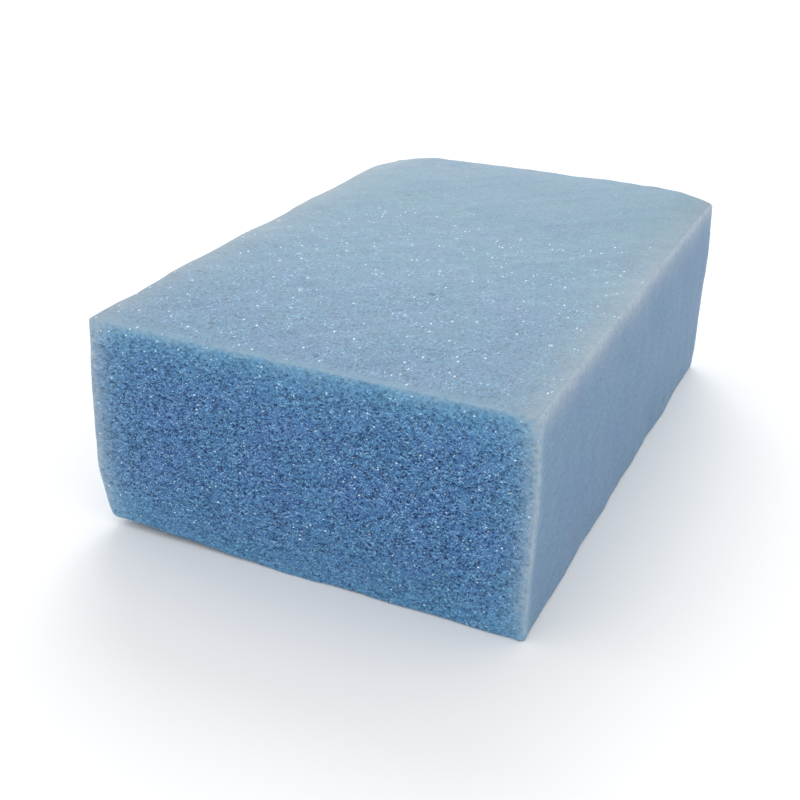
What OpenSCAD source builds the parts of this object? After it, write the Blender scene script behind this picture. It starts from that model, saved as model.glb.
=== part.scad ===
// Grouting sponge: one block of open-cell polyurethane foam, sawn from a larger bun.
// Frame: millimetres, +Z up, +Y along the block, origin at the centre of the base.

/* [Block] */
// Length of the block, along Y
block_l = 172; // [140:1:220]
// Width of the block, along X
block_w = 111; // [90:1:150]
// Thickness of the block, along Z
block_h = 55; // [40:1:75]

/* [Upright corners] */
// Plan radius of the three crisp corners
corner_r = 2; // [1:0.5:5]
// Plan radius of the soft corner at the back left
soft_corner_r = 8; // [6:0.5:14]

/* [Base] */
// How far the left side and the back draw in at the base
tuck_in = 4; // [2:0.5:8]
// Height over which they draw in
tuck_rise = 13; // [9:0.5:20]

/* [Hidden] */
$fn = 96;
half_l = block_l / 2;
half_w = block_w / 2;
cut_margin = 1;

// What a rounded corner takes off a square corner at the origin that faces -X -Y
module corner_waste(r) {
    difference() {
        translate([-cut_margin, -cut_margin]) square(r + cut_margin);
        translate([r, r]) circle(r);
    }
}

// The block seen from above: three crisp corners and a soft one
module plan_outline() {
    difference() {
        translate([-half_w, -half_l]) square([block_w, block_l]);
        translate([-half_w, -half_l]) corner_waste(corner_r);
        translate([half_w, -half_l]) mirror([1, 0]) corner_waste(corner_r);
        translate([half_w, half_l]) rotate(180) corner_waste(corner_r);
        translate([-half_w, half_l]) mirror([0, 1]) corner_waste(soft_corner_r);
    }
}

// One upright wall seen end-on: a rectangle of that width whose left side draws in at the base
module tucked_profile(width) {
    polygon([
        [-width / 2 + tuck_in, 0],
        [width / 2, 0],
        [width / 2, block_h],
        [-width / 2, block_h],
        [-width / 2, tuck_rise]
    ]);
}

module foam_block() {
    color("steelblue") intersection() {
        linear_extrude(block_h) plan_outline();
        // Seen along +Y, which tucks the left side
        translate([0, half_l + cut_margin, 0]) rotate([90, 0, 0])
            linear_extrude(block_l + 2 * cut_margin) tucked_profile(block_w);
        // Seen along -X, which tucks the back
        translate([-half_w - cut_margin, 0, 0]) rotate([90, 0, 90])
            linear_extrude(block_w + 2 * cut_margin) mirror([1, 0]) tucked_profile(block_l);
    }
}

foam_block();
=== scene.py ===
"""A tiler's grouting sponge: one sawn block of open-cell foam, on a pale floor under soft studio light.

Lengths are in millimetres up to the moment a mesh, light or camera is made, and in metres after that.
"""

import math

import bpy
import numpy as np
from mathutils import Matrix, Vector


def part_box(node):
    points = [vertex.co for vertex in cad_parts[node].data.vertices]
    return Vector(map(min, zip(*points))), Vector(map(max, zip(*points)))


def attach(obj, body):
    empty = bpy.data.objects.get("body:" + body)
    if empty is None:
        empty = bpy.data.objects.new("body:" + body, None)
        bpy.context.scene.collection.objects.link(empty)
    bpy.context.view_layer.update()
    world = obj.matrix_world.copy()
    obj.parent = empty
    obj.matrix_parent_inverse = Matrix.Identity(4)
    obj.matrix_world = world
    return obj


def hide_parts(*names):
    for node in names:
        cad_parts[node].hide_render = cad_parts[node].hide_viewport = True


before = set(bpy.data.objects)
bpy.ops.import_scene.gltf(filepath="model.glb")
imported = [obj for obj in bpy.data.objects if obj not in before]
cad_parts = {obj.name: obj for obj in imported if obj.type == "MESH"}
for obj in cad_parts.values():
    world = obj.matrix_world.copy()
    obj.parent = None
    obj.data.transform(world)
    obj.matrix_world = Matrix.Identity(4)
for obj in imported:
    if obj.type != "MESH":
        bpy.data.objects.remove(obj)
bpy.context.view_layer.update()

MM = 0.001
NODE = "foam_block"
SEED = 20

# The block as sawn: its box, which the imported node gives, and its edge radius.
LOW, HIGH = (np.array(corner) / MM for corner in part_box(NODE))
SIZE = HIGH - LOW
EDGE_R = 0.9

# Its own shape. The top is crowned at the back, more so on the right, swells along its length, and is lowest
# at its corners.
CROWN = 2.4
CROWN_TILT = 0.9
SWELL = 0.9
CORNER_DROP = 1.0
# The sides lean in above a height. The left one tucks under below a height, and a little more at its base.
LEAN = 0.015
LEAN_FROM = 36
TUCK = 3.6
TUCK_HEIGHT = 15
HEEL = 0.6
HEEL_HEIGHT = 3
# The base is raised at the front left, between those shares of the half width, and drawn in at the back,
# where the end's middle also stands proud.
LIFT = 2.0
LIFT_SPAN = (0.1, 0.95)
BACK_TUCK = 3.5
BACK_TUCK_HEIGHT = 10
BACK_BOW = 1.0
# How far the soft upright corner at the back left is drawn in, and where it begins and is full, as shares of
# the half width and the half length.
SOFT_CORNER = 2.5
SOFT_ACROSS = (0.65, 1)
SOFT_ALONG = (0.78, 1)
# The height and length of the faces' waves, and the span of the random factor that a single wave's length is
# divided by.
WAVE, WAVE_LENGTH = 0.16, 24
SHORT_WAVE, SHORT_WAVE_LENGTH = 0.05, 8
WAVE_SPREAD = (0.7, 1.4)

# The foam: the pitch of its cells, of the bits of strut and of the finest grain, how far and in what pitch
# the cells wander, their walls as a share of their pitch, and how deep they are. The foam rises along Y and
# is pressed in Z, so its cells are longer along Y and shorter in Z by the last two factors.
CELL = 0.85
STREAK = 0.66
GRAIN = 0.34
WARP, WARP_PITCH = 0.45, 1.0
WALL = (0.01, 0.22)
CUP_DEPTH = (0.08, 0.55)
RISE = 1.8
SQUASH = 1.42
# The bits of strut, the bright ones pale with painted highlights and the dark ones painted shade: how wide
# the bright and the dark ones are, in the values of their noise, how many are kept, and how far above a
# bright one its painted shade lies.
LIGHT_WIDTH, LIGHT_KEPT = 0.055, 0.5
DARK_WIDTH, DARK_KEPT = 0.06, 0.9
SHADE_OFFSET = 0.5
# They run where a noise has its middle value. A second noise drops some of them: its pitch is wider by that
# factor, and they fade within that span of its values.
MIDDLE = 0.5
KEPT_PITCH = 1.4
KEPT_SPAN = 0.12
# It is the same noise, read so far off that it has nothing to do with the first.
ELSEWHERE = (31.0, 17.0, 5.0)
# The grain's values that are dark and bright, and how strong it is beside the bits of strut.
GRAIN_DARK = (0.28, 0.42)
GRAIN_LIGHT = (0.62, 0.74)
GRAIN_SHARE = 0.8
# Bubbles: few and far apart, much larger than the cells, and dark with painted shade.
BUBBLE_PITCH = 15.0
BUBBLE_RADIUS = (0.4, 1.2)
BUBBLE_DEPTH = 0.9
BUBBLE_WARP, BUBBLE_WARP_PITCH = 0.6, 2.0
BUBBLE_SHARE = 0.7
# Cell windows with painted glints, and how wide the clusters are that the glints and the painted highlights
# of bits of strut make on the top.
FILM = 0.54
CLUSTER = 5.0
# Where along the block the top begins to turn calm, and where its back is calmest.
CALM_FROM = -5.0
CALM_TO = 60.0

# How far light that enters at an edge is seen: beside the long top edges, on the ends beside the left and the
# right upright edge, round the corner from an edge of the ends, and below the crest of the ends; and its blue
# rest, beside the upright edges and further in.
GLOW_REACH = 3.0
LEFT_REACH = 2.8
RIGHT_REACH = 2.0
SIDE_REACH = 1.1
CREST_REACH = 1.0
BLUE_REACH = 4.0
WIDE_REACH = 9.0
# How strong it is: at the upright edges, where it grows between two heights, and at the long top and the base
# edges; and its blue rest below the crest, beside the upright edges, and further in from the crest and the
# base.
UPRIGHT_GLOW = 1.15
UPRIGHT_RISE = (-8, 12)
LONG_GLOW = 1.1
BASE_GLOW = 0.1
CREST_BLUE = 0.45
SIDE_BLUE = 0.45
WIDE_CREST = 0.28
WIDE_BASE = 0.36
# The crest's band is wider and narrower by this share, in waves this long.
CREST_WANDER, CREST_WAVE = 0.35, 9
# The mottles in all that light: their size, the values of their noise that are faint and strong, their least
# and greatest strength, and the most that the light at the upright, long top and base edges can cover.
MOTTLE = 1.3
MOTTLE_NOISE = (0.3, 0.7)
MOTTLE_RANGE = (0.65, 1.2)
GLOW_LIMIT = 0.9

# How open the cells are on the long faces, where 1 is the two sawn ends, and how much less closed the top
# counts towards its front: that begins and is full so far in front of the middle, as shares of the length.
SKIN = 0.16
FRONT_OPENING = 0.3
FRONT_SPAN = (-0.3, 0.5)
# How much of their depth the cells lose where light comes through.
GLOW_FLAT = 0.5
CREST_FLAT = 0.6
UNDER_FLAT = 0.3
# How much of the long faces' colour is their skin's paler colour with painted sheen.
SKIN_SHEEN_SHARE = 0.74
# The mesh's grid.
STEP = 0.28
# What the mesh tells its material at every point: how closed its face is, how far it faces up and sideways,
# and the light that comes through beside the upright, long top and base edges, at the crest of the ends, and
# on the ends.
FIELDS = ("closed", "top", "side", "glow", "crest", "under")

rng = np.random.default_rng(SEED)


# ---------------------------------------------------------------- the block's surface


def box_shell(counts):
    """The closed surface of a box of counts cells: its lattice points, and its quads as indices and as
    lattice points, with the side that each is on."""
    corners, sides = [], []
    for axis in range(3):
        u, v = (axis + 1) % 3, (axis + 2) % 3
        iu, iv = np.meshgrid(np.arange(counts[u]), np.arange(counts[v]), indexing="ij")
        for end in (0, 1):
            quad = np.zeros(iu.shape + (4, 3), np.int64)
            quad[..., axis] = end * counts[axis]
            turn = ((0, 0), (1, 0), (1, 1), (0, 1)) if end else ((0, 0), (0, 1), (1, 1), (1, 0))
            for k, (du, dv) in enumerate(turn):
                quad[..., k, u] = iu + du
                quad[..., k, v] = iv + dv
            quad = quad.reshape(-1, 4, 3)
            corners.append(quad)
            sides.append(np.full(len(quad), 2 * axis + end))
    corners = np.concatenate(corners)
    span = np.array(counts) + 1
    keys = (corners[..., 0] * span[1] + corners[..., 1]) * span[2] + corners[..., 2]
    unique, index = np.unique(keys, return_inverse=True)
    points = np.stack([unique // (span[1] * span[2]), unique // span[2] % span[1], unique % span[2]], -1)
    return points, index.reshape(-1, 4), corners, np.concatenate(sides)


def smooth(value, low, high):
    """0 below low, 1 above high, and an S between them."""
    t = np.clip((value - low) / (high - low), 0, 1)
    return t * t * (3 - 2 * t)


def ripple(points, wavelength, waves=9):
    """A smooth random field of that wavelength, mostly within -1 and 1."""
    total = np.zeros(len(points))
    for _ in range(waves):
        way = rng.normal(size=3)
        way *= 2 * math.pi / wavelength * rng.uniform(*WAVE_SPREAD) / np.linalg.norm(way)
        total += np.sin(points @ way + rng.uniform(0, 2 * math.pi))
    return total / math.sqrt(waves)


def rounded(points):
    """The box's points moved on to the same box with round edges."""
    core = np.clip(points, LOW + EDGE_R, HIGH - EDGE_R)
    off = points - core
    reach = np.linalg.norm(off, axis=1, keepdims=True)
    return core + off * EDGE_R / np.maximum(reach, 1e-9)


def facing(points):
    """How far each rounded point faces along X, Y and Z, as squares that add up to 1. Underneath, Z is 0."""
    off = points - np.clip(points, LOW + EDGE_R, HIGH - EDGE_R)
    share = off**2 / np.sum(off**2, axis=1, keepdims=True)
    share[:, 2] *= off[:, 2] > 0
    return share


def edge_glow(points, top):
    """Light that comes through beside an edge, from 0 to 1: along the upright, long top and base edges, over
    the crest of the ends, and a bluer one on the ends, beside all their edges."""
    side_gap, end_gap = (np.minimum(points - LOW, HIGH - points)[:, axis] for axis in (0, 1))
    top_gap = HIGH[2] - points[:, 2]
    low_gap = points[:, 2]
    end_reach = np.where(points[:, 0] < 0, LEFT_REACH, RIGHT_REACH)
    upright = np.minimum(UPRIGHT_GLOW * np.exp(-side_gap / end_reach - end_gap / SIDE_REACH), 1)
    upright = upright * smooth(low_gap, *UPRIGHT_RISE)
    long_edge = np.minimum(LONG_GLOW * np.exp(-(side_gap + top_gap) / (GLOW_REACH * (1 + top))), 1)
    base = BASE_GLOW * np.exp(-low_gap / WIDE_REACH - side_gap / GLOW_REACH)
    clear = (1 - upright) * (1 - long_edge) * (1 - base)
    crest_reach = CREST_REACH * np.exp(CREST_WANDER * ripple(points, CREST_WAVE))
    crest = np.exp(-top_gap / crest_reach - np.maximum(end_gap - EDGE_R, 0) / SIDE_REACH)
    near = CREST_BLUE * np.exp(-top_gap / GLOW_REACH) + SIDE_BLUE * np.exp(-side_gap / BLUE_REACH)
    wide = WIDE_CREST * np.exp(-top_gap / WIDE_REACH) + WIDE_BASE * np.exp(-low_gap / WIDE_REACH)
    return 1 - clear, crest, (near + wide) * np.exp(-end_gap / SIDE_REACH) * (1 - top)


def sag(points):
    """The block's own shape: crowned at the back, one soft corner, and drawn in at its left and back base."""
    x, y, z = points.T
    u = x / (SIZE[0] / 2)
    v = y / (SIZE[1] / 2)
    w = z / SIZE[2]
    left, front, back = (smooth(side, 0, 1) for side in (-u, -v, v))
    out = points.copy()
    # Top: lowest at its corners, with a long low rise and a higher crown towards the back.
    crown = back * (CROWN + CROWN_TILT * u) * (1 - np.abs(u) ** 6)
    out[:, 2] += w * (crown + SWELL * (1 - v**4) - CORNER_DROP)
    # Sides: they lean in a little at the top, and the left one tucks under at the base.
    out[:, 0] *= 1 - LEAN * smooth(z, LEAN_FROM, SIZE[2])
    out[:, 0] += left * (TUCK * ramp_down(z, TUCK_HEIGHT) ** 1.2 + HEEL * ramp_down(z, HEEL_HEIGHT) ** 2)
    # Base: raised along the front left, and rounded away at the back.
    out[:, 2] += (1 - w) * LIFT * smooth(-u, *LIFT_SPAN) * front
    out[:, 1] -= back * BACK_TUCK * ramp_down(z, BACK_TUCK_HEIGHT) ** 2
    # Back left corner: drawn in across its diagonal.
    soft = smooth(-u, *SOFT_ACROSS) * smooth(v, *SOFT_ALONG)
    out[:, 0] += SOFT_CORNER * soft
    out[:, 1] -= SOFT_CORNER * soft
    # Back end: its middle stands a little proud of its corners.
    out[:, 1] -= back * BACK_BOW * u**2
    return out


def ramp_down(value, reach):
    """1 at 0, falling in a straight line to 0 at reach."""
    return np.clip(1 - value / reach, 0, 1)


def normals_of(points, quads):
    """Unit vertex normals of a quad mesh."""
    a, b, c, d = (points[quads[:, k]] for k in range(4))
    face = np.cross(c - a, d - b)
    normal = np.zeros_like(points)
    for k in range(4):
        for axis in range(3):
            normal[:, axis] += np.bincount(quads[:, k], face[:, axis], len(points))
    return normal / np.linalg.norm(normal, axis=1, keepdims=True)


# ---------------------------------------------------------------- nodes


class Tree:
    """Adds nodes to a shader or geometry tree. A value given for an input is set, and a socket is linked."""

    def __init__(self, tree):
        self.tree = tree

    def node(self, kind, inputs=(), **settings):
        made = self.tree.nodes.new(kind)
        for name, value in settings.items():
            setattr(made, name, value)
        for name, value in dict(inputs).items():
            if isinstance(value, bpy.types.NodeSocket):
                self.tree.links.new(value, made.inputs[name])
            else:
                made.inputs[name].default_value = value
        return made

    def math(self, operation, a, b=0.0):
        return self.node("ShaderNodeMath", {0: a, 1: b}, operation=operation).outputs[0]

    def add(self, a, b):
        return self.node("ShaderNodeVectorMath", {0: a, 1: b}, operation="ADD").outputs[0]

    def scale(self, a, by):
        return self.node("ShaderNodeVectorMath", {0: a, "Scale": by}, operation="SCALE").outputs[0]

    def ease(self, value, low, high, at_low=0.0, at_high=1.0):
        """at_low below low, at_high above high, and an S between them."""
        limits = {"Value": value, "From Min": low, "From Max": high, "To Min": at_low, "To Max": at_high}
        return self.node("ShaderNodeMapRange", limits, interpolation_type="SMOOTHSTEP").outputs["Result"]

    def voronoi(self, place, pitch, feature="F1", randomness=1.0):
        inputs = {"Vector": place, "Scale": 1 / pitch, "Randomness": randomness}
        return self.node("ShaderNodeTexVoronoi", inputs, voronoi_dimensions="3D", feature=feature)

    def noise(self, place, pitch, detail=0.0):
        inputs = {"Vector": place, "Scale": 1 / pitch, "Detail": detail}
        return self.node("ShaderNodeTexNoise", inputs, noise_dimensions="3D")

    def mix(self, factor, a, b, blend="MIX"):
        made = self.node("ShaderNodeMix", data_type="RGBA", blend_type=blend)
        for name, value in (("Factor", factor), ("A", a), ("B", b)):
            socket = [s for s in made.inputs if s.name == name and s.enabled][0]
            if isinstance(value, bpy.types.NodeSocket):
                self.tree.links.new(value, socket)
            else:
                socket.default_value = value if name == "Factor" else (*value, 1)
        return [s for s in made.outputs if s.enabled][0]


def cells(tree, rest):
    """The foam at a resting place: how deep its cells are, in millimetres, and how far it is a bubble."""
    place = tree.add(squashed(tree, rest), tree.scale(tree.noise(rest, WARP_PITCH).outputs["Color"], WARP))
    wall = tree.voronoi(place, CELL, "DISTANCE_TO_EDGE").outputs["Distance"]
    chance = first(tree, tree.voronoi(place, CELL).outputs["Color"])
    depth = tree.math("MULTIPLY", tree.ease(wall, *WALL), tree.ease(chance, 0.0, 1.0, *CUP_DEPTH))
    wander = tree.noise(rest, BUBBLE_WARP_PITCH).outputs["Color"]
    bubble_place = tree.add(rest, tree.scale(wander, BUBBLE_WARP))
    away = tree.voronoi(bubble_place, BUBBLE_PITCH)
    low, high = (r / BUBBLE_PITCH for r in BUBBLE_RADIUS)
    return depth, tree.ease(away.outputs["Distance"], low, high, 1.0, 0.0)


def streaks(tree, place, pitch, width, share):
    """Thin curved lines a pitch or so apart: 1 along them, 0 between them. A higher share keeps more."""
    noise = tree.noise(place, pitch).outputs["Fac"]
    line = tree.ease(tree.math("ABSOLUTE", tree.math("SUBTRACT", noise, MIDDLE)), 0.0, width, 1.0, 0.0)
    kept = tree.noise(tree.add(place, ELSEWHERE), KEPT_PITCH * pitch).outputs["Fac"]
    dropped = MIDDLE - KEPT_SPAN * share
    return tree.math("MULTIPLY", line, tree.ease(kept, dropped, dropped + KEPT_SPAN))


def squashed(tree, rest):
    """A resting place in a space where the foam's cells are as long as they are wide and high."""
    factors = (1, 1 / RISE, SQUASH)
    return tree.node("ShaderNodeVectorMath", {0: rest, 1: factors}, operation="MULTIPLY").outputs[0]


def first(tree, colour):
    """The first of a random colour's three numbers."""
    return tree.node("ShaderNodeSeparateXYZ", {"Vector": colour}).outputs["X"]


# ---------------------------------------------------------------- meshes


def mesh_object(name, points, quads):
    """A Blender object from millimetre points and quads."""
    mesh = bpy.data.meshes.new(name)
    mesh.vertices.add(len(points))
    mesh.vertices.foreach_set("co", (points * MM).astype(np.float32).ravel())
    mesh.loops.add(quads.size)
    mesh.loops.foreach_set("vertex_index", quads.astype(np.int32).ravel())
    mesh.polygons.add(len(quads))
    mesh.polygons.foreach_set("loop_start", np.arange(0, quads.size, 4, dtype=np.int32))
    mesh.update(calc_edges=True)
    mesh.validate()
    obj = bpy.data.objects.new(name, mesh)
    bpy.context.scene.collection.objects.link(obj)
    return obj


def attribute(mesh, name, values, kind="FLOAT"):
    """Stores a number or a vector for every point of a mesh."""
    layer = mesh.attributes.new(name, kind, "POINT")
    field = "vector" if kind == "FLOAT_VECTOR" else "value"
    layer.data.foreach_set(field, values.astype(np.float32).ravel())


ATLAS_GAP = 4.0


def box_atlas(mesh, corners, counts, sides):
    """Lays the box's six sides out flat in one square, as the UV layer for a texture of the piece."""
    x, y, z = SIZE
    gap = ATLAS_GAP
    sides_row, next_row = y + 2 * gap, y + z + 3 * gap
    ends_column = 2 * x + 3 * gap
    origins = (
        (gap, sides_row),
        (gap, next_row),
        (ends_column, gap),
        (ends_column, x + 2 * gap),
        (gap, gap),
        (x + 2 * gap, gap),
    )
    sheet = y + 2 * z + 4 * gap
    place = corners / counts * SIZE
    uv = np.empty(corners.shape[:2] + (2,))
    for side, origin in enumerate(origins):
        axis = side // 2
        mine = sides == side
        uv[mine] = (place[mine][..., [(axis + 1) % 3, (axis + 2) % 3]] + origin) / sheet
    mesh.uv_layers.new(name="OFBake").data.foreach_set("uv", uv.astype(np.float32).ravel())


def pit_surface(piece):
    """Sinks the piece's surface into its cells, and keeps the result as its mesh."""
    group = bpy.data.node_groups.new("pits", "GeometryNodeTree")
    group.interface.new_socket("Geometry", in_out="INPUT", socket_type="NodeSocketGeometry")
    group.interface.new_socket("Geometry", in_out="OUTPUT", socket_type="NodeSocketGeometry")
    tree = Tree(group)
    rest = tree.node("GeometryNodeInputNamedAttribute", {"Name": "rest"}, data_type="FLOAT_VECTOR")
    relief = tree.node("GeometryNodeInputNamedAttribute", {"Name": "relief"}, data_type="FLOAT")
    depth, bubble = cells(tree, rest.outputs["Attribute"])
    depth = tree.math("ADD", depth, tree.math("MULTIPLY", bubble, BUBBLE_DEPTH))
    sink = tree.math("MULTIPLY", tree.math("MULTIPLY", depth, relief.outputs["Attribute"]), -MM)
    normal = tree.node("GeometryNodeInputNormal").outputs["Normal"]
    offset = tree.scale(normal, sink)
    source = tree.node("NodeGroupInput").outputs[0]
    moved = tree.node("GeometryNodeSetPosition", {"Geometry": source, "Offset": offset})
    tree.node("NodeGroupOutput", {0: moved.outputs["Geometry"]})
    piece.modifiers.new("pits", "NODES").node_group = group
    depsgraph = bpy.context.evaluated_depsgraph_get()
    made = bpy.data.meshes.new_from_object(piece.evaluated_get(depsgraph), depsgraph=depsgraph)
    piece.modifiers.clear()
    piece.data = made


def foam_piece():
    """The block's mesh, with the fields its material reads, its atlas, and its cells sunk into it."""
    counts = np.round(SIZE / STEP).astype(int)
    lattice, quads, corners, sides = box_shell(counts)
    flat = LOW + lattice / counts * SIZE
    rest = rounded(flat)
    body = sag(rest)
    normal = normals_of(body, quads)
    waves = WAVE * ripple(rest, WAVE_LENGTH) + SHORT_WAVE * ripple(rest, SHORT_WAVE_LENGTH)
    body += normal * waves[:, None]
    body[:, 2] = np.maximum(body[:, 2], 0)
    piece = mesh_object("foam_sponge", body, quads)
    share = facing(rest)
    long_face = 1 - share[:, 1]
    near_front = smooth(-rest[:, 1] / SIZE[1], *FRONT_SPAN)
    glow, crest, under = edge_glow(flat, share[:, 2])
    relief = 1 - (1 - SKIN) * long_face
    relief = relief * (1 - GLOW_FLAT * glow) * (1 - CREST_FLAT * crest) * (1 - UNDER_FLAT * under)
    closed = long_face * (1 - FRONT_OPENING * share[:, 2] * near_front)
    fields = (closed, share[:, 2], share[:, 0], glow, crest, under)
    attribute(piece.data, "rest", rest, "FLOAT_VECTOR")
    for name, values in zip(FIELDS, fields):
        attribute(piece.data, name, values)
    attribute(piece.data, "relief", relief)
    box_atlas(piece.data, corners, counts, sides)
    piece.data.shade_smooth()
    pit_surface(piece)
    return piece


# ---------------------------------------------------------------- materials


def material(name):
    """A new node material, its node adder and its Principled shader."""
    made = bpy.data.materials.new(name)
    made.use_nodes = True
    return made, Tree(made.node_tree), made.node_tree.nodes["Principled BSDF"]


def srgb(r, g, b):
    """Linear values of an sRGB colour given from 0 to 255."""
    c = np.array([r, g, b]) / 255
    return tuple(np.where(c <= 0.04045, c / 12.92, ((c + 0.055) / 1.055) ** 2.4).tolist())


# The foam's colours: its struts, its cups and hollows with painted shade by depth, pale and dark grain that
# also gives the bits of strut painted highlights and painted shade, the skin of the long faces with painted
# sheen, the light beside the edges, which is blue on the ends, and paler at their crest and at the other
# edges, and the painted glints of cell windows.
STRUT = srgb(62, 118, 172)
CUP = srgb(40, 94, 150)
HOLLOW_SHADE = srgb(0, 32, 92)
PALE_GRAIN_AND_HIGHLIGHT = srgb(158, 211, 247)
DARK_GRAIN_AND_SHADE = srgb(0, 34, 96)
TOP_SKIN_SHEEN = srgb(95, 135, 151)
SIDE_SKIN_SHEEN = srgb(92, 127, 156)
UNDER_EDGE = srgb(108, 174, 208)
CREST = srgb(138, 170, 193)
TOP_CREST = srgb(82, 126, 153)
EDGE = srgb(156, 173, 187)
TOP_EDGE = srgb(115, 138, 152)
PAINTED_GLINT = srgb(222, 248, 255)
# The patches of hue multiply the colour by these. Then their size, and the values of their noise between
# which the one hue turns to the other.
LAVENDER = (1.03, 0.98, 1.01)
TEAL = (0.95, 1.03, 0.99)
PATCH = 12
PATCH_NOISE = (0.35, 0.65)

# The depths between which struts turn to cups, and cups to hollows: painted shade that darkens the deeper
# cells.
CUP_DEPTHS = (0.0, 0.2)
HOLLOW_DEPTHS = (0.28, 0.5)
# How closed a face is where the painted shade of hollows and dark bits of strut begins to fade and where it
# is faintest, and how faint that is.
DARK_FADE = (0.7, 1.0)
CLOSED_DARK = 0.3
# How much of the bright bits of strut, with their painted highlights, is seen: on the ends, outside and
# inside the clusters of the top, on the sides, and at the calm back of the top. The clusters begin and are
# full at those values of their noise.
END_LIGHT = 0.95
TOP_LIGHT = (0.13, 0.54)
SIDE_LIGHT = 0.23
CALM_LIGHT = 0.1
CLUSTER_NOISE = (0.45, 0.62)
# A cell's window begins to get a painted glint, and it is full, at those values of its random number, after a
# handicap for the same places is taken off.
FLECK_LUCK = (0.983, 0.996)
TOP_HANDICAP = (0.004, -0.016)
SIDE_HANDICAP = 0.014
CALM_HANDICAP = 0.01
# How far from its middle a window's painted glint begins to fade and ends, in pitches; how closed a face is
# where the glints begin to be fainter and where they are faintest; and how faint that is.
FLECK_SIZE = (0.3, 0.6)
FLECK_FADE = (0.2, 0.8)
CLOSED_FLECK = 0.6
# How far up a round edge faces where its light turns to that of the top.
CREST_TURN = (0.85, 1.05)
EDGE_TURN = (0.8, 1.05)
# The finest grain as bump, and how rough the foam and its windows with painted glints are.
BUMP_STRENGTH = 0.5
BUMP_HEIGHT = 0.06
ROUGHNESS = 0.62
FLECK_ROUGHNESS = 0.3
SHEEN = 0.12
SHEEN_ROUGHNESS = 0.5


def cell_colour(tree, rest, place, grain, closed):
    """Struts, with painted shade that darkens the cups and the bottoms of deep ones, dark grain and painted
    shade beside bits of strut, and bubbles darkened with painted shade.
    """
    depth, bubble = cells(tree, rest)
    shown = tree.ease(closed, *DARK_FADE, 1.0, CLOSED_DARK)
    # The deeper a cell, the more painted shade darkens it, to the hollows' colour.
    colour = tree.mix(tree.ease(depth, *CUP_DEPTHS), STRUT, CUP)
    colour = tree.mix(tree.math("MULTIPLY", tree.ease(depth, *HOLLOW_DEPTHS), shown), colour, HOLLOW_SHADE)
    # Painted shade above the bright bits of strut, and dark grain.
    above = tree.add(place, (0.0, 0.0, -SHADE_OFFSET * SQUASH))
    dark_grain = tree.ease(grain, *GRAIN_DARK, GRAIN_SHARE, 0.0)
    dark = tree.math("MAXIMUM", streaks(tree, above, STREAK, DARK_WIDTH, DARK_KEPT), dark_grain)
    colour = tree.mix(tree.math("MULTIPLY", dark, shown), colour, DARK_GRAIN_AND_SHADE)
    # Bubbles darkened with painted shade.
    return tree.mix(tree.math("MULTIPLY", bubble, BUBBLE_SHARE), colour, HOLLOW_SHADE)


def strut_light(tree, place, grain, closed, on_long_faces):
    """How much of the bright bits of strut is seen: pale grain, and painted highlights on the bits of strut.
    """
    light_grain = tree.ease(grain, *GRAIN_LIGHT, 0.0, GRAIN_SHARE)
    light = tree.math("MAXIMUM", streaks(tree, place, STREAK, LIGHT_WIDTH, LIGHT_KEPT), light_grain)
    return tree.math("MULTIPLY", light, tree.ease(closed, 0.0, 1.0, END_LIGHT, on_long_faces))


def on_faces(tree, side, calm, cluster, on_top, on_side, at_calm):
    """A value for each kind of place: the top, outside and inside its clusters, the sides, the calm back."""
    value = tree.ease(side, 0.0, 1.0, tree.ease(cluster, 0.0, 1.0, *on_top), on_side)
    return tree.ease(calm, 0.0, 1.0, value, at_calm)


def edge_light(tree, colour, rest, top, glow, crest, under):
    """The colour with the light that comes through beside the edges laid over it, in mottles."""
    mottle = tree.ease(tree.noise(rest, MOTTLE, detail=1.0).outputs["Fac"], *MOTTLE_NOISE, *MOTTLE_RANGE)
    colour = tree.mix(tree.math("MULTIPLY", under, mottle), colour, UNDER_EDGE)
    over = tree.mix(tree.ease(top, *CREST_TURN), CREST, TOP_CREST)
    colour = tree.mix(tree.math("MULTIPLY", crest, mottle), colour, over)
    beside = tree.mix(tree.ease(top, *EDGE_TURN), EDGE, TOP_EDGE)
    share = tree.math("MINIMUM", tree.math("MULTIPLY", glow, mottle), GLOW_LIMIT)
    return tree.mix(share, colour, beside)


def windows(tree, place, closed, handicap):
    """Where the windows of single cells get a painted glint, from 0 to 1."""
    film = tree.voronoi(place, FILM)
    near = tree.ease(film.outputs["Distance"], *FLECK_SIZE, 1.0, 0.0)
    lucky = first(tree, film.outputs["Color"])
    lucky = tree.math("SUBTRACT", lucky, tree.math("MULTIPLY", closed, handicap))
    bright = tree.ease(closed, *FLECK_FADE, 1.0, CLOSED_FLECK)
    return tree.math("MULTIPLY", tree.math("MULTIPLY", tree.ease(lucky, *FLECK_LUCK), bright), near)


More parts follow.
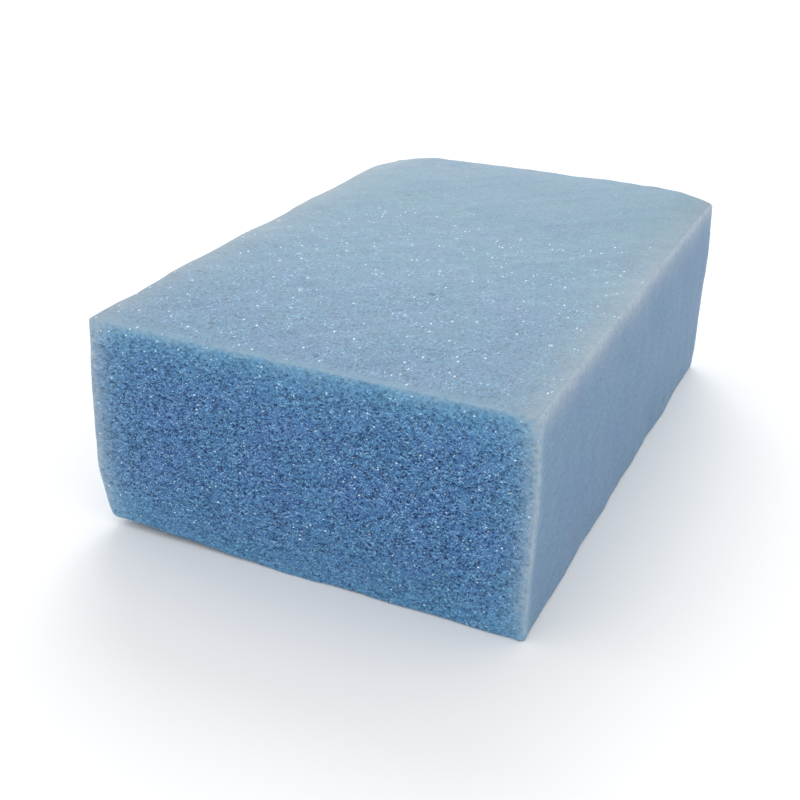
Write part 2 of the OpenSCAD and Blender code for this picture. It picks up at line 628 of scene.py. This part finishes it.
def foam_material():
    """The foam's colour, grain and roughness, which go by where the foam lay before the block was bent."""
    made, tree, shader = material("foam")
    rest = tree.node("ShaderNodeAttribute", attribute_name="rest").outputs["Vector"]
    fields = (tree.node("ShaderNodeAttribute", attribute_name=name).outputs["Fac"] for name in FIELDS)
    closed, top, side, glow, crest, under = fields
    place = squashed(tree, rest)
    grain = tree.noise(place, GRAIN, detail=1.0).outputs["Fac"]
    colour = cell_colour(tree, rest, place, grain, closed)
    # Long faces: shallower cells, under their skin's paler colour with painted sheen, which differs on the
    # top.
    skin_sheen = tree.mix(top, SIDE_SKIN_SHEEN, TOP_SKIN_SHEEN)
    colour = tree.mix(tree.math("MULTIPLY", closed, SKIN_SHEEN_SHARE), colour, skin_sheen)
    # Bright bits of strut with painted highlights, and pale grain, in clusters on the top, and few at its
    # back and on the sides.
    cluster = tree.ease(tree.noise(rest, CLUSTER).outputs["Fac"], *CLUSTER_NOISE)
    along = tree.node("ShaderNodeSeparateXYZ", {"Vector": rest}).outputs["Y"]
    calm = tree.math("MULTIPLY", top, tree.ease(along, CALM_FROM, CALM_TO))
    faint = on_faces(tree, side, calm, cluster, TOP_LIGHT, SIDE_LIGHT, CALM_LIGHT)
    colour = tree.mix(strut_light(tree, place, grain, closed, faint), colour, PALE_GRAIN_AND_HIGHLIGHT)
    # The bun's own patches of hue.
    patch = tree.noise(rest, PATCH, detail=2.0).outputs["Fac"]
    tint = tree.mix(tree.ease(patch, *PATCH_NOISE), TEAL, LAVENDER)
    colour = tree.mix(1.0, colour, tint, "MULTIPLY")
    colour = edge_light(tree, colour, rest, top, glow, crest, under)
    # Painted glints on windows of single cells, spread like the bright bits of strut.
    handicap = on_faces(tree, side, calm, cluster, TOP_HANDICAP, SIDE_HANDICAP, CALM_HANDICAP)
    spot = windows(tree, place, closed, handicap)
    colour = tree.mix(spot, colour, PAINTED_GLINT)
    tree.tree.links.new(colour, shader.inputs["Base Color"])
    relief = {"Height": grain, "Strength": BUMP_STRENGTH, "Distance": BUMP_HEIGHT * MM}
    bump = tree.node("ShaderNodeBump", relief)
    tree.tree.links.new(bump.outputs["Normal"], shader.inputs["Normal"])
    roughness = tree.ease(spot, 0.0, 1.0, ROUGHNESS, FLECK_ROUGHNESS)
    tree.tree.links.new(roughness, shader.inputs["Roughness"])
    shader.inputs["Sheen Weight"].default_value = SHEEN
    shader.inputs["Sheen Roughness"].default_value = SHEEN_ROUGHNESS
    return made


FLOOR_COLOUR = (0.94, 0.94, 0.94, 1)
FLOOR_ROUGHNESS = 0.9
FLOOR_SPECULAR = 0.1


def floor_material():
    made, _, shader = material("floor")
    shader.inputs["Base Color"].default_value = FLOOR_COLOUR
    shader.inputs["Roughness"].default_value = FLOOR_ROUGHNESS
    shader.inputs["Specular IOR Level"].default_value = FLOOR_SPECULAR
    return made


# ---------------------------------------------------------------- the scene


FLOOR_HALF = 4000.0


def floor():
    """A plain pale floor at Z 0."""
    half = FLOOR_HALF
    points = np.array([[-half, -half, 0], [half, -half, 0], [half, half, 0], [-half, half, 0]])
    made = mesh_object("floor", points, np.array([[0, 1, 2, 3]]))
    made.data.materials.append(floor_material())


# The camera: which way it looks, how far it stands off, how far its axis passes beside the aim, and its lens.
CAMERA_AZIMUTH = math.radians(23.16)
CAMERA_ELEVATION = math.radians(25.53)
CAMERA_ROLL = math.radians(2.3)
CAMERA_DISTANCE = 358.4
CAMERA_ASIDE = (11.1, -7.8)
CAMERA_AIM = (-0.15, -0.5, 1.0)
CAMERA_LENS = 55.74
CAMERA_CLIP = 10.0


def camera():
    """The camera, at the angle that the constants above give."""
    a, e = CAMERA_AZIMUTH, CAMERA_ELEVATION
    back = Vector((math.sin(a) * math.cos(e), -math.cos(a) * math.cos(e), math.sin(e)))
    right = Vector((math.cos(a), math.sin(a), 0))
    up = back.cross(right)
    level = Matrix((right, up, back)).transposed()
    turned = level @ Matrix.Rotation(CAMERA_ROLL, 3, "Z")
    place = Vector(CAMERA_AIM) + turned @ Vector((-CAMERA_ASIDE[0], -CAMERA_ASIDE[1], CAMERA_DISTANCE))
    lens = bpy.data.cameras.new("camera")
    lens.lens = CAMERA_LENS
    lens.clip_start = CAMERA_CLIP * MM
    made = bpy.data.objects.new("camera", lens)
    made.matrix_world = Matrix.Translation(place * MM) @ turned.to_4x4()
    bpy.context.scene.collection.objects.link(made)
    bpy.context.scene.camera = made


SOFTBOX_SIZE = math.radians(40)
SOFTBOX_ENERGY = 1.3
SOFTBOX_WAY = (0.35, -0.83, -0.55)
ROOM_COLOUR = (1, 1, 1, 1)
ROOM_STRENGTH = 1.0


def lights():
    """A white room, and a broad softbox low behind the block that skims its top."""
    light = bpy.data.lights.new("softbox", "SUN")
    light.angle = SOFTBOX_SIZE
    light.energy = SOFTBOX_ENERGY
    made = bpy.data.objects.new("softbox", light)
    made.rotation_euler = Vector(SOFTBOX_WAY).to_track_quat("-Z", "Y").to_euler()
    bpy.context.scene.collection.objects.link(made)
    world = bpy.data.worlds.new("studio")
    world.use_nodes = True
    world.node_tree.nodes["Background"].inputs["Color"].default_value = ROOM_COLOUR
    world.node_tree.nodes["Background"].inputs["Strength"].default_value = ROOM_STRENGTH
    bpy.context.scene.world = world


sponge = foam_piece()
sponge.data.materials.append(foam_material())
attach(sponge, "root")
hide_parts(NODE)

floor()
camera()
lights()
bpy.context.scene.view_settings.view_transform = "Standard"
